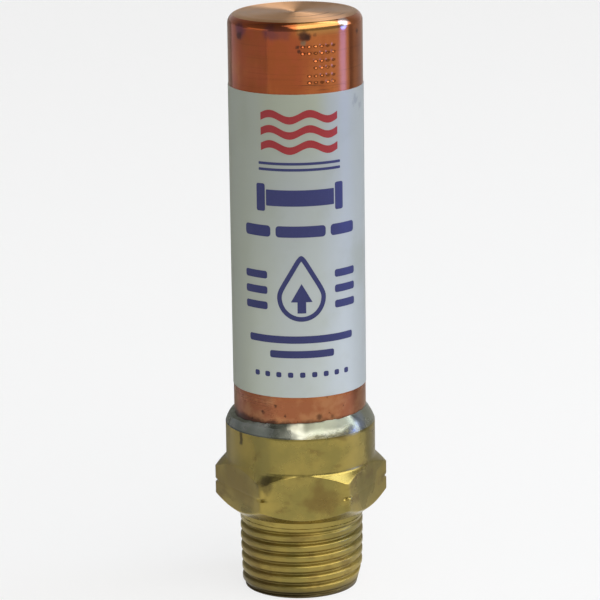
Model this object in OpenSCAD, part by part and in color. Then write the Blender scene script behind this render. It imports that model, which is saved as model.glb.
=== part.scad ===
// Water hammer arrestor with a copper air chamber, a sliding piston and a half inch male pipe thread
// Millimetres, +Z up, origin at the centre of the flat end of the threaded nipple

/* [Chamber] */
// Outside diameter of the copper chamber
chamber_d = 22.2; // [19:0.1:28]
// Wall of the chamber, the same in the side and in the closed end
chamber_wall = 1.1; // [0.7:0.1:1.6]
// Length of the chamber from its open end to its closed end
chamber_len = 78.3; // [70:0.1:110]
// Outside radius of the shoulder round the closed end
shoulder_r = 1.7; // [1.3:0.1:4]
// Diameter of the centre dimple that spinning leaves in the closed end
dimple_d = 2.2; // [1:0.1:4]
// Depth of that dimple
dimple_depth = 0.2; // [0.1:0.05:0.4]

/* [Adapter] */
// Length of the threaded nipple below the hexagon
nipple_len = 13.7; // [10:0.1:20]
// Outside diameter of the nipple at its free end
nipple_d = 20.3; // [18:0.1:21.5]
// Growth in diameter for each millimetre along the nipple, one in sixteen
nipple_taper = 0.0625; // [0.03:0.0025:0.08]
// Length of the tapered part, above which the nipple is straight
nipple_taper_len = 8; // [4:0.1:9.5]
// Chamfer at the free end of the nipple
nipple_chamfer = 0.5; // [0.2:0.1:1]
// Diameter of the waterway through the nipple
waterway_d = 14.4; // [11:0.1:15]
// Chamfer at the mouth of the waterway
mouth_chamfer = 0.5; // [0.2:0.1:1]
// Height of the hexagon
hex_h = 8.7; // [7:0.1:14]
// How far each flat of the hexagon stands out from the collar
hex_step = 0.1; // [0.05:0.05:1.5]
// How much is turned off each sharp corner of the hexagon
hex_corner_trim = 0.16; // [0.05:0.01:0.6]
// Width of the corner chamfer under the hexagon
hex_low_chamfer = 3; // [1:0.1:3.4]
// Slope of the chamfer under the hexagon, in degrees from the horizontal
hex_low_angle = 38; // [25:1:45]
// Slope of the chamfer above the hexagon, in degrees from the horizontal
hex_top_angle = 40; // [25:1:50]
// Radius of the hollow between that chamfer and the collar
hex_fillet_r = 0.8; // [0.3:0.1:1.2]
// Height of the round collar above the hexagon
collar_h = 7.8; // [5:0.1:12]
// Wall of the collar round the chamber
collar_wall = 1.45; // [1.2:0.05:3]
// Width of the chamfer round the collar's mouth
collar_chamfer_w = 1.0; // [0.4:0.05:1.1]
// Height of that chamfer
collar_chamfer_h = 1.5; // [0.8:0.1:2.2]
// Depth of the socket that holds the chamber
socket_depth = 10.2; // [8:0.1:13]
// Gap between the chamber and its socket, on the radius
socket_gap = 0.05; // [0.02:0.01:0.1]

/* [Solder] */
// Height that the solder climbs up the chamber above the collar
solder_climb = 1.2; // [0.6:0.1:2.5]
// Thickness of the solder over the upper edge of the collar's chamfer
solder_film = 0.25; // [0.1:0.05:0.5]

/* [Piston] */
// Length of the piston
piston_len = 24; // [20:0.1:32]
// Running gap between the piston and the chamber, on the radius
piston_gap = 0.1; // [0.05:0.01:0.2]
// Chamfer at both ends of the piston
piston_chamfer = 0.6; // [0.2:0.1:1]
// Distance from each end of the piston to its nearer ring groove
groove_inset = 4.3; // [2.5:0.1:5.5]
// Width of each ring groove
groove_w = 3.4; // [3:0.1:4]
// Thickness of plastic between a ring groove and the hollow
core_wall = 2.6; // [1.5:0.1:3.5]
// Thickness of the floor under the hollow
core_floor = 5; // [3:0.1:8]
// Width of the land between each ring groove and the greased waist
land_w = 1.9; // [0.8:0.1:2.2]
// Depth of the greased waist
waist_depth = 0.6; // [0.3:0.1:1.2]
// Diameter of the gate mark in the wet face
gate_d = 4; // [2:0.1:6]
// Depth of the gate mark
gate_depth = 0.4; // [0.2:0.1:0.8]

/* [O-rings] */
// Thickness of a relaxed O-ring
ring_section = 2.62; // [2.4:0.01:2.8]
// How much of that thickness the fit squeezes out
ring_squeeze = 0.42; // [0.2:0.01:0.6]
// Gap left between an O-ring and the chamber, on the radius
ring_gap = 0.03; // [0.02:0.01:0.05]

/* [Label] */
// Height of the wrapped label
label_h = 50.8; // [40:0.1:54]
// Height of the label's lower edge above the collar
label_lift = 5.3; // [3:0.1:6.5]
// Thickness of the label
label_t = 0.08; // [0.06:0.01:0.2]
// Length of label that overlaps at the back
label_overlap = 5; // [3:0.5:10]

/* [Hidden] */
$fn = 96;
overcut = 0.5;

copper_colour = [0.72, 0.41, 0.25];
brass_colour = [0.71, 0.62, 0.33];
solder_colour = [0.72, 0.74, 0.70];
label_colour = [0.86, 0.88, 0.84];
piston_colour = [0.90, 0.89, 0.84];
rubber_colour = [0.10, 0.10, 0.11];

chamber_r = chamber_d / 2;
bore_r = chamber_r - chamber_wall;
bore_corner_r = max(0.2, shoulder_r - chamber_wall);

nipple_r = nipple_d / 2;
nipple_top_r = nipple_r + nipple_taper * nipple_taper_len / 2;
waterway_r = waterway_d / 2;
socket_r = chamber_r + socket_gap;
collar_r = socket_r + collar_wall;
hex_flat_r = collar_r + hex_step;
hex_corner_r = hex_flat_r / cos(30);
hex_turned_r = hex_corner_r - hex_corner_trim;

hex_z = nipple_len;
collar_z = hex_z + hex_h;
collar_top_z = collar_z + collar_h;
seat_z = collar_top_z - socket_depth;

groove_r = bore_r - ring_section + ring_squeeze;
piston_r = bore_r - piston_gap;
core_r = groove_r - core_wall;
lower_groove_z = groove_inset;
upper_groove_z = piston_len - groove_inset - groove_w;

label_z = collar_top_z + label_lift;
label_outer_r = chamber_r + label_t;
overlap_angle = label_overlap / label_outer_r * 180 / PI;

// A rectangle from the axis out to radius r, with its outer top corner rounded
module round_topped(r, h, corner) {
    square([r, h - corner]);
    square([r - corner, h]);
    translate([r - corner, h - corner]) circle(corner);
}

// A cylinder from the axis out to radius r with equal chamfers at both ends
module chamfered_rod(r, h, chamfer) {
    rotate_extrude()
        polygon([[0, 0], [r - chamfer, 0], [r, chamfer], [r, h - chamfer], [r - chamfer, h], [0, h]]);
}

// A ring groove of width w, cut from radius outer in to radius inner, with its lower wall at height z
module ring_cut(inner, outer, z, w) {
    translate([0, 0, z])
        rotate_extrude()
            translate([inner, 0]) square([outer - inner, w]);
}

// The drawn copper tube, spun shut at its top
module copper_chamber() {
    color(copper_colour)
        translate([0, 0, seat_z])
            rotate_extrude()
                difference() {
                    round_topped(chamber_r, chamber_len, shoulder_r);
                    translate([0, -overcut])
                        round_topped(bore_r, chamber_len - chamber_wall + overcut, bore_corner_r);
                    polygon([[0, chamber_len - dimple_depth], [dimple_d / 2, chamber_len],
                             [dimple_d / 2, chamber_len + overcut], [0, chamber_len + overcut]]);
                }
}

// The nipple that carries the pipe thread, at the diameter of the thread's crests: tapered at its free end,
// straight above
module nipple() {
    chamfer_r = nipple_r + nipple_taper * nipple_chamfer / 2;
    rotate_extrude()
        polygon([[0, 0], [nipple_r - nipple_chamfer, 0], [chamfer_r, nipple_chamfer],
                 [nipple_top_r, nipple_taper_len], [nipple_top_r, nipple_len + overcut],
                 [0, nipple_len + overcut]]);
}

// The hexagon, with its corners turned off to cones above and below, and a hollow up to the collar
module hexagon() {
    low_rise = hex_low_chamfer * tan(hex_low_angle);
    top_fall = (hex_turned_r - collar_r) * tan(hex_top_angle);
    reach = hex_fillet_r * tan((90 - hex_top_angle) / 2);
    fillet_low = [collar_r + reach * cos(hex_top_angle), hex_h - reach * sin(hex_top_angle)];
    fillet_high = [collar_r, hex_h + reach];
    translate([0, 0, hex_z])
        intersection() {
            cylinder(h = hex_h + reach, r = hex_corner_r, $fn = 6);
            rotate_extrude()
                difference() {
                    polygon([[0, 0], [hex_turned_r - hex_low_chamfer, 0], [hex_turned_r, low_rise],
                             [hex_turned_r, hex_h - top_fall], fillet_low, fillet_high, [0, hex_h + reach]]);
                    translate([collar_r + hex_fillet_r, hex_h + reach]) circle(hex_fillet_r);
                }
        }
}

// The round collar, chamfered round its mouth
module collar() {
    translate([0, 0, collar_z])
        rotate_extrude()
            polygon([[0, -overcut], [collar_r, -overcut], [collar_r, collar_h - collar_chamfer_h],
                     [collar_r - collar_chamfer_w, collar_h], [0, collar_h]]);
}

// The waterway from the free end up to the seat, with a chamfered mouth
module waterway() {
    mouth_r = waterway_r + mouth_chamfer;
    rotate_extrude()
        polygon([[0, -overcut], [mouth_r, -overcut], [mouth_r, 0], [waterway_r, mouth_chamfer],
                 [waterway_r, seat_z + overcut], [0, seat_z + overcut]]);
}

// The forged and turned brass fitting: nipple, hexagon and collar in one piece
module brass_adapter() {
    color(brass_colour)
        difference() {
            union() {
                nipple();
                hexagon();
                collar();
            }
            waterway();
            translate([0, 0, seat_z]) cylinder(h = socket_depth + overcut, r = socket_r);
        }
}

// A point on the solder's face: a curve from the collar's edge at t = 0, over the chamfer's upper edge
// at half way, to the chamber at t = 1
function solder_face(t) =
    let (low = [collar_r, collar_top_z - collar_chamfer_h],
         half_way = [collar_r - collar_chamfer_w + solder_film, collar_top_z],
         high = [chamber_r, collar_top_z + solder_climb],
         pull = 2 * half_way - (low + high) / 2)
    low * pow(1 - t, 2) + pull * 2 * t * (1 - t) + high * pow(t, 2);

// The bead of solder that covers the collar's chamfer and closes the joint
module solder_fillet() {
    steps = 6;
    color(solder_colour)
        rotate_extrude()
            polygon([for (i = [0 : steps]) solder_face(i / steps),
                     [chamber_r, collar_top_z],
                     [collar_r - collar_chamfer_w, collar_top_z]]);
}

// The printed label, wrapped once round the chamber and lapped over itself at the back
module wrap_label() {
    color(label_colour)
        translate([0, 0, label_z])
            difference() {
                cylinder(h = label_h, r = label_outer_r + label_t);
                translate([0, 0, -overcut]) cylinder(h = label_h + 2 * overcut, r = chamber_r);
                rotate(90 + overlap_angle / 2)
                    translate([0, 0, -overcut])
                        rotate_extrude(angle = 360 - overlap_angle)
                            translate([label_outer_r, 0]) square([label_t + overcut, label_h + 2 * overcut]);
            }
}

// The moulded piston, hollow towards the air, with two ring grooves and a greased waist
module piston() {
    waist_z = lower_groove_z + groove_w + land_w;
    waist_w = upper_groove_z - land_w - waist_z;
    color(piston_colour)
        translate([0, 0, seat_z])
            difference() {
                chamfered_rod(piston_r, piston_len, piston_chamfer);
                for (z = [lower_groove_z, upper_groove_z])
                    ring_cut(groove_r, piston_r + overcut, z, groove_w);
                ring_cut(piston_r - waist_depth, piston_r + overcut, waist_z, waist_w);
                translate([0, 0, core_floor]) cylinder(h = piston_len, r = core_r);
                translate([0, 0, -overcut]) cylinder(h = gate_depth + overcut, d = gate_d);
            }
}

// An O-ring squeezed flat between its groove and the chamber, centred in the groove that starts at height z
module squeezed_ring(z) {
    outer_r = bore_r - ring_gap;
    middle_r = (groove_r + outer_r) / 2;
    spread = 1.05;
    color(rubber_colour)
        translate([0, 0, seat_z + z + groove_w / 2])
            rotate_extrude()
                intersection() {
                    translate([middle_r, 0]) circle(ring_section * spread / 2);
                    translate([groove_r, -groove_w / 2]) square([outer_r - groove_r, groove_w]);
                }
}

module upper_o_ring() squeezed_ring(upper_groove_z);

module lower_o_ring() squeezed_ring(lower_groove_z);

copper_chamber();
brass_adapter();
solder_fillet();
wrap_label();
piston();
upper_o_ring();
lower_o_ring();
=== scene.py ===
"""Studio scene of a water hammer arrestor: copper chamber, brass adapter, solder bead, label and piston."""

import logging
import math
from collections.abc import Iterable, Sequence
from dataclasses import dataclass
from enum import Enum
from functools import partial, reduce

import bmesh
import bpy
from bmesh.types import BMEdge, BMesh, BMVert
from bpy.types import Material, Node, NodeSocket, Object
from mathutils import Matrix, Vector, noise


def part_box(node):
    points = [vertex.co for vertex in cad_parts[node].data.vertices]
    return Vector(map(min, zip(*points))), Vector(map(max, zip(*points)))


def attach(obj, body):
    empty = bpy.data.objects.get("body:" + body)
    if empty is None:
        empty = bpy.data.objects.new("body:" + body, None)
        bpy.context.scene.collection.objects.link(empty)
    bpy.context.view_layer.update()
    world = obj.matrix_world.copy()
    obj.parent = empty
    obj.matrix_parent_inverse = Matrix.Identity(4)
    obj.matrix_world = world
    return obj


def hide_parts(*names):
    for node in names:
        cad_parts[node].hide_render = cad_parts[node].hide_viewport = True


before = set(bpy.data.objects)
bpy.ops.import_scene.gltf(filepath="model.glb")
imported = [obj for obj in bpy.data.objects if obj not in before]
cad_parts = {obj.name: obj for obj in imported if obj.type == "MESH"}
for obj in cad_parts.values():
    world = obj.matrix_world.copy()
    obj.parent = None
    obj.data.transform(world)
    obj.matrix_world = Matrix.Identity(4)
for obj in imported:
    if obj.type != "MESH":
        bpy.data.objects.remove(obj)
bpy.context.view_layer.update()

LOG = logging.getLogger("arrestor")
MM = 0.001
FULL_TURN = 2.0 * math.pi
SAME_PLACE = 1e-6
Point = tuple[float, float]
Colour = tuple[float, float, float]


class Body(str, Enum):
    """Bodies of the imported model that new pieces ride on."""

    CASING = "casing"


class Slot(str, Enum):
    """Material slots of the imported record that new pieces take."""

    COPPER = "copper"
    BRASS = "brass"
    SOLDER = "solder"
    LABEL = "label"


def arc(centre: Point, radius: float, start: float, end: float, steps: int) -> list[Point]:
    """Points along an arc in the profile plane.

    Args:
        centre: Centre of the arc, as (radius, height).
        radius: Radius of the arc.
        start: First angle in degrees, from the outward direction towards +Z.
        end: Last angle in degrees.
        steps: Number of equal steps along the arc.

    Returns:
        The points from start to end, both included.
    """
    angles = [math.radians(start + (end - start) * i / steps) for i in range(steps + 1)]
    return [(centre[0] + radius * math.cos(a), centre[1] + radius * math.sin(a)) for a in angles]


def stretch(start: Point, end: Point, pitch: float) -> list[Point]:
    """Evenly spaced points from start up to, but without, end.

    Args:
        start: First point, as (radius, height).
        end: Where the stretch stops.
        pitch: Largest distance between two points.

    Returns:
        The points, start included.
    """
    count = max(1, math.ceil(math.dist(start, end) / pitch))
    shares = [i / count for i in range(count)]
    return [(start[0] + (end[0] - start[0]) * s, start[1] + (end[1] - start[1]) * s) for s in shares]


def smooth_min(a: float, b: float, blend: float) -> float:
    """The lesser of two lengths, rounded over where they differ by less than blend."""
    share = min(1.0, max(0.0, 0.5 + 0.5 * (b - a) / blend))
    return b + (a - b) * share - blend * share * (1.0 - share)


def smooth_step(low: float, high: float, value: float) -> float:
    """0 below low, 1 above high and an even curve between them."""
    share = min(1.0, max(0.0, (value - low) / (high - low)))
    return share * share * (3.0 - 2.0 * share)


def polar(vert: BMVert) -> tuple[float, float]:
    """Radius of a vertex from the part's axis, and its angle from the front, right being positive."""
    return math.hypot(vert.co.x, vert.co.y), math.atan2(vert.co.x, -vert.co.y)


def set_radius(vert: BMVert, radius: float) -> None:
    """Move a vertex straight out from or in to the part's axis, to the given radius.

    Args:
        vert: The vertex to move.
        radius: Its new distance from the axis.
    """
    length = math.hypot(vert.co.x, vert.co.y)
    vert.co.x *= radius / length
    vert.co.y *= radius / length


def repeat(mesh: BMesh, known: set[BMVert], moves: Iterable[Matrix]) -> None:
    """Copy everything new in a mesh once for each move, and weld the copies together.

    Args:
        mesh: The bmesh to work in.
        known: Vertices that were there before and stay as they are.
        moves: One matrix for each copy.
    """
    first = [vert for vert in mesh.verts if vert not in known]
    faces = list({face for vert in first for face in vert.link_faces})
    for move in moves:
        copy = bmesh.ops.duplicate(mesh, geom=faces)
        verts = [item for item in copy["geom"] if isinstance(item, BMVert)]
        bmesh.ops.transform(mesh, matrix=move, verts=verts)
    fresh = [vert for vert in mesh.verts if vert not in known]
    bmesh.ops.remove_doubles(mesh, verts=fresh, dist=SAME_PLACE)


def lathe(mesh: BMesh, profile: Sequence[Point], steps: int, closed: bool = False) -> list[BMVert]:
    """Turn a profile once round the part's axis, as twelve welded sectors.

    Args:
        mesh: The bmesh that takes the new faces.
        profile: Points of the profile, as (radius, height).
        steps: Number of steps in the full turn, a multiple of twelve.
        closed: True if the last point joins the first one.

    Returns:
        The vertices of the new surface.
    """
    sectors = 12
    known = set(mesh.verts)
    verts = [mesh.verts.new((radius, 0.0, height)) for radius, height in profile]
    pairs = list(zip(verts, verts[1:]))
    if closed:
        pairs.append((verts[-1], verts[0]))
    edges = [mesh.edges.new(pair) for pair in pairs]
    bmesh.ops.spin(
        mesh, geom=verts + edges, cent=(0, 0, 0), axis=(0, 0, 1), angle=FULL_TURN / sectors,
        steps=steps // sectors, use_merge=False,
    )
    repeat(mesh, known, [Matrix.Rotation(FULL_TURN * i / sectors, 4, "Z") for i in range(1, sectors)])
    return [vert for vert in mesh.verts if vert not in known]


def make_object(
    mesh: BMesh, name: str, materials: Iterable[Material], sharp_degrees: float = 30.0
) -> Object:
    """Turn a bmesh into a smooth shaded object at the origin.

    Args:
        mesh: The finished bmesh, which is freed.
        name: Name of the new piece.
        materials: Materials for the object's slots, in order.
        sharp_degrees: Edges that turn by more than this stay sharp.

    Returns:
        The new object, linked to the scene.
    """
    bmesh.ops.recalc_face_normals(mesh, faces=mesh.faces)
    for face in mesh.faces:
        face.smooth = True
    data = bpy.data.meshes.new(name)
    mesh.to_mesh(data)
    mesh.free()
    data.set_sharp_from_angle(angle=math.radians(sharp_degrees))
    piece = bpy.data.objects.new(name, data)
    bpy.context.scene.collection.objects.link(piece)
    for material in materials:
        data.materials.append(material)
    return piece


def log_piece(piece: Object) -> None:
    """Report a finished piece."""
    LOG.info("%s: %d faces", piece.name, len(piece.data.polygons))


class Sheet:
    """A material's node tree, with a colour laid up coat by coat and short calls for the shared nodes."""

    def __init__(self, name: str) -> None:
        """Start a material with one principled shader, and object coordinates in millimetres.

        Args:
            name: Name of the material.
        """
        self.material = bpy.data.materials.new(name)
        self.material.use_nodes = True
        self.tree = self.material.node_tree
        self.tree.nodes.clear()
        self.shader = self.node("ShaderNodeBsdfPrincipled", {})
        self.output = self.node("ShaderNodeOutputMaterial", {"Surface": self.shader.outputs["BSDF"]})
        coords = self.node("ShaderNodeTexCoord", {})
        self.place = self.vector_math("SCALE", coords.outputs["Object"], 1.0 / MM)
        self.x, self.y, self.height = self.node("ShaderNodeSeparateXYZ", {0: self.place}).outputs
        self.colour: object = (0.8, 0.8, 0.8)

    def node(self, kind: str, feeds: dict[int | str, object], **settings: object) -> Node:
        """Add a node, set its properties and feed its inputs.

        Args:
            kind: Blender's name for the node's type.
            feeds: What goes into its inputs, by their names or numbers.
            settings: Its properties, by name.

        Returns:
            The new node.
        """
        node = self.tree.nodes.new(kind)
        for key, value in settings.items():
            setattr(node, key, value)
        for key, value in feeds.items():
            self.feed(node.inputs[key], value)
        return node

    def feed(self, socket: NodeSocket, value: object) -> None:
        """Link an output to a socket, or set the socket to a constant.

        Args:
            socket: The input to feed.
            value: An output, a colour, a vector or a number.
        """
        if isinstance(value, NodeSocket):
            self.tree.links.new(value, socket)
        elif isinstance(value, tuple) and socket.type == "RGBA":
            socket.default_value = (*value, 1.0)
        else:
            socket.default_value = value

    def vector_math(self, operation: str, first: object, second: object) -> NodeSocket:
        """One step of arithmetic on vectors, or on a vector and a scale.

        Args:
            operation: Blender's name for the step.
            first: The first vector.
            second: The second vector, or the scale.

        Returns:
            The result's output.
        """
        feeds = {0: first, "Scale" if operation == "SCALE" else 1: second}
        node = self.node("ShaderNodeVectorMath", feeds, operation=operation)
        return node.outputs["Value" if operation == "DISTANCE" else "Vector"]

    def math(self, operation: str, first: object, second: object = 0.0) -> NodeSocket:
        """One step of arithmetic on two values."""
        return self.node("ShaderNodeMath", {0: first, 1: second}, operation=operation).outputs[0]

    def product(self, *values: object) -> object:
        """All values multiplied, or the only one as it is."""
        return reduce(partial(self.math, "MULTIPLY"), values)

    def angle(self) -> NodeSocket:
        """Angle from the front in radians, right being positive."""
        return self.math("ARCTAN2", self.x, self.math("MULTIPLY", self.y, -1.0))

    def radius(self) -> NodeSocket:
        """Distance from the part's axis in millimetres."""
        squared = self.math("ADD", self.product(self.x, self.x), self.product(self.y, self.y))
        return self.math("SQRT", squared)

    def side(self) -> NodeSocket:
        """How far to the part's side a place is: -1 at its left, 0 at its front and back, 1 at its right."""
        return self.math("SINE", self.angle())

    def scaled(self, x: float, y: float, z: float) -> NodeSocket:
        """Object coordinates in millimetres, times a factor along each axis."""
        return self.vector_math("MULTIPLY", self.place, (x, y, z))

    def cloud_node(self, place: NodeSocket, per_mm: float, detail: float, rough: float) -> Node:
        """A noise node, with its scale given in features for each millimetre."""
        feeds = {"Vector": place, "Scale": per_mm, "Detail": detail, "Roughness": rough}
        return self.node("ShaderNodeTexNoise", feeds)

    def noise(
        self, place: NodeSocket, per_mm: float, detail: float = 3.0, rough: float = 0.55
    ) -> NodeSocket:
        """Cloudy noise from 0 to 1."""
        return self.cloud_node(place, per_mm, detail, rough).outputs["Fac"]

    def warped(self, reach: float, per_mm: float) -> NodeSocket:
        """Object coordinates in millimetres, shaken by noise up to the given reach.

        Args:
            reach: Largest shift along each axis.
            per_mm: Scale of the noise.

        Returns:
            The coordinates' output.
        """
        node = self.cloud_node(self.place, per_mm, 3.0, 0.5)
        shift = self.vector_math("SUBTRACT", node.outputs["Color"], (0.5, 0.5, 0.5))
        return self.vector_math("ADD", self.place, self.vector_math("SCALE", shift, 2.0 * reach))

    def span(
        self, value: object, low: float, high: float, to_low: float = 0.0, to_high: float = 1.0
    ) -> NodeSocket:
        """Carry a value from one range to another with soft ends."""
        feeds = dict(enumerate((value, low, high, to_low, to_high)))
        return self.node("ShaderNodeMapRange", feeds, interpolation_type="SMOOTHSTEP").outputs[0]

    def band(self, value: object, low: float, high: float, soft: float) -> NodeSocket:
        """1 between low and high, falling to 0 outside over the soft width."""
        return self.product(self.span(value, low - soft, low), self.span(value, high, high + soft, 1.0, 0.0))

    def mix(self, share: object, first: object, second: object) -> NodeSocket:
        """Mix two colours."""
        return self.node("ShaderNodeMix", {0: share, 6: first, 7: second}, data_type="RGBA").outputs[2]

    def lay(self, tint: object, *masks: object) -> None:
        """Lay a tint over the colour so far, as thick as the product of its masks."""
        self.colour = self.mix(self.product(*masks), self.colour, tint)

    def bump(
        self, height: object, depth_mm: float, strength: float = 1.0, under: object = None
    ) -> NodeSocket:
        """A bumped normal from a height of 0 to 1.

        Args:
            height: The height, as an output.
            depth_mm: What a height of 1 stands for.
            strength: Share of the full effect.
            under: An earlier bumped normal to add to, if any.

        Returns:
            The normal's output.
        """
        feeds = {"Strength": strength, "Distance": depth_mm * MM, "Height": height}
        if under is not None:
            feeds["Normal"] = under
        return self.node("ShaderNodeBump", feeds).outputs[0]

    def spot(
        self, angle_degrees: float, height: float, size: float, on_radius: float, ragged: float = 0.6
    ) -> NodeSocket:
        """A blot with a ragged edge, from 1 in its middle to 0 outside.

        Args:
            angle_degrees: Where it is round the part, from the front, right being positive.
            height: Its height in millimetres.
            size: Its radius in millimetres.
            on_radius: Radius of the surface that it lies on.
            ragged: How much noise breaks its edge, as a share of its size.

        Returns:
            The mask's output.
        """
        angle = math.radians(angle_degrees)
        middle = (on_radius * math.sin(angle), -on_radius * math.cos(angle), height)
        far = self.vector_math("DISTANCE", self.warped(ragged * size, 0.9 / size), middle)
        return self.span(far, 0.3 * size, size, 1.0, 0.0)

    def whiten(self, share: float) -> None:
        """Show part of the surface as plain white to the camera and to reflections, and keep its shadows.

        Args:
            share: How much of what they see is white.
        """
        path = self.node("ShaderNodeLightPath", {}).outputs
        seen = self.math("MAXIMUM", path["Is Camera Ray"], path["Is Glossy Ray"])
        seen = self.math("MAXIMUM", seen, path["Is Transmission Ray"])
        white = self.node("ShaderNodeEmission", {}).outputs[0]
        feeds = {0: self.product(seen, share), 1: self.shader.outputs["BSDF"], 2: white}
        self.feed(self.output.inputs["Surface"], self.node("ShaderNodeMixShader", feeds).outputs[0])

    def finish(self, rough: object, metal: float = 0.0, normal: object = None) -> Material:
        """Wire the shader's main sockets.

        Args:
            rough: Roughness, as an output or a constant.
            metal: Metallic share.
            normal: A bumped normal, if any.

        Returns:
            The finished material.
        """
        self.feed(self.shader.inputs["Base Color"], self.colour)
        self.feed(self.shader.inputs["Roughness"], rough)
        self.shader.inputs["Metallic"].default_value = metal
        if normal is not None:
            self.feed(self.shader.inputs["Normal"], normal)
        return self.material


@dataclass(frozen=True)
class CopperFinish:
    """Drawn copper with tarnish, heat tints near its spun end, a heated lower band, painted shade on its
    left and painted highlights on its shoulder's front right.

    The heights and the radius are in millimetres.
    """

    radius: float
    end_height: float
    heat_height: float
    deep: Colour = (0.30, 0.078, 0.026)
    bright: Colour = (0.42, 0.132, 0.040)
    golden_highlight: Colour = (0.42, 0.225, 0.07)
    ruddy: Colour = (0.35, 0.078, 0.034)
    scored: Colour = (0.17, 0.05, 0.02)
    heated: Colour = (0.42, 0.185, 0.082)
    rosy: Colour = (0.34, 0.122, 0.055)
    soot: Colour = (0.05, 0.024, 0.018)
    bruise: Colour = (0.12, 0.042, 0.055)
    verdigris: Colour = (0.17, 0.155, 0.10)
    painted_highlight: Colour = (0.70, 0.55, 0.50)
    flux_edge: Point = (30.1, 31.0)
    scratch_heights: Point = (86.6, 88.4)
    scratch_angles: Point = (0.05, 0.7)
    highlight_angles: Point = (0.02, 0.6)

    def build(self) -> Material:
        """Make the material.

        Returns:
            The finished material.
        """
        sheet = Sheet("copper_wall_finish")
        angle = sheet.angle()
        side = sheet.side()
        clouds = sheet.noise(sheet.place, 0.13, 5.0)
        streaks = sheet.noise(sheet.scaled(0.5, 0.5, 0.025), 1.0, 2.0)
        drawn = sheet.noise(sheet.scaled(0.05, 0.05, 4.0), 1.0, 3.0)
        tone = sheet.math("ADD", sheet.product(clouds, 0.7), sheet.product(streaks, 0.3))
        # Painted shade and light: the tone is lowered on the left side and raised on the right.
        tone = sheet.math("ADD", tone, sheet.span(side, -0.48, 0.39, -0.1, 0.06))
        sheet.colour = sheet.mix(sheet.span(tone, 0.34, 0.66), self.deep, self.bright)
        heat = sheet.span(sheet.height, self.heat_height, self.heat_height + 3.0, 1.0, 0.0)
        patches = sheet.span(sheet.noise(sheet.place, 0.32, 4.0), 0.4, 0.6)
        # Ruddy patches: partly the copper's own tone, partly painted shade, since they lie thickest on the
        # left side.
        sheet.lay(self.ruddy, patches, sheet.span(side, -0.1, 0.2, 0.45, 0.1))
        sheet.lay(self.scored, sheet.span(drawn, 0.56, 0.74), 0.4)
        sheet.lay(sheet.mix(patches, self.rosy, self.heated), heat)
        sheet.lay(self.soot, sheet.span(sheet.noise(sheet.place, 0.8, 3.0), 0.64, 0.71), heat, 0.7)
        flux = sheet.math("ADD", sheet.height, sheet.product(sheet.noise(sheet.place, 0.7, 3.0), -1.6))
        sheet.lay(self.soot, sheet.span(flux, *self.flux_edge, 0.85, 0.0))
        shoulder = sheet.span(sheet.height, self.end_height - 2.9, self.end_height - 1.4)
        # Painted highlight: a golden tint on the front right of the shoulder, where the lamps' reflection
        # falls.
        sheet.lay(self.golden_highlight, shoulder, sheet.band(angle, *self.highlight_angles, 0.08), 0.75)
        scratch = sheet.span(sheet.noise(sheet.scaled(0.22, 0.22, 7.0), 1.0, 2.0), 0.62, 0.68)
        level = sheet.band(sheet.height, *self.scratch_heights, 0.5)
        sheet.lay(self.soot, scratch, level, sheet.band(angle, *self.scratch_angles, 0.1), 0.6)
        for blot_angle, blot_height, size, tint, share in self.blots():
            sheet.lay(tint, sheet.spot(blot_angle, blot_height, size, self.radius), share)
        rough = sheet.span(sheet.math("ADD", tone, sheet.product(drawn, 0.4)), 0.4, 1.0, 0.1, 0.2)
        rough = sheet.math("ADD", rough, sheet.product(heat, 0.16))
        normal = sheet.bump(drawn, 0.008, 0.4)
        normal = sheet.bump(sheet.noise(sheet.place, 0.25, 2.0), 0.05, 0.5, normal)
        return sheet.finish(rough, 1.0, normal)

    def blots(self) -> list[tuple[float, float, float, Colour, float]]:
        """The smudges on the tube, and one pale painted highlight spot on the shoulder.

        Returns:
            Angle, height, radius, tint and share of each.
        """
        end = self.end_height
        return [
            (-24.0, end - 1.9, 2.0, self.bruise, 0.65),
            (-12.0, end - 1.8, 1.8, self.bruise, 0.4),
            (-56.0, end - 2.4, 1.9, self.bruise, 0.85),
            (-58.0, end - 3.0, 0.9, self.soot, 0.75),
            # Painted highlight: a pale spot on the shoulder's front right.
            (44.0, end - 0.9, 1.5, self.painted_highlight, 0.95),
            (5.0, end - 2.7, 1.3, self.soot, 0.9),
            (7.5, end - 2.8, 0.7, self.soot, 0.9),
            (4.0, end - 3.7, 0.7, self.verdigris, 0.6),
            (-1.0, end - 4.3, 0.5, self.soot, 0.8),
            (0.5, end - 5.0, 0.45, self.soot, 0.8),
            (62.0, end - 2.8, 0.6, self.soot, 0.7),
            (14.0, end - 2.4, 0.5, self.soot, 0.4),
            (-24.0, 33.9, 0.4, self.soot, 0.8),
            (-36.0, 32.6, 0.5, self.soot, 0.5),
            (14.0, 32.0, 0.7, self.soot, 0.7),
            (26.0, 31.9, 0.5, self.soot, 0.5),
        ]


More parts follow.
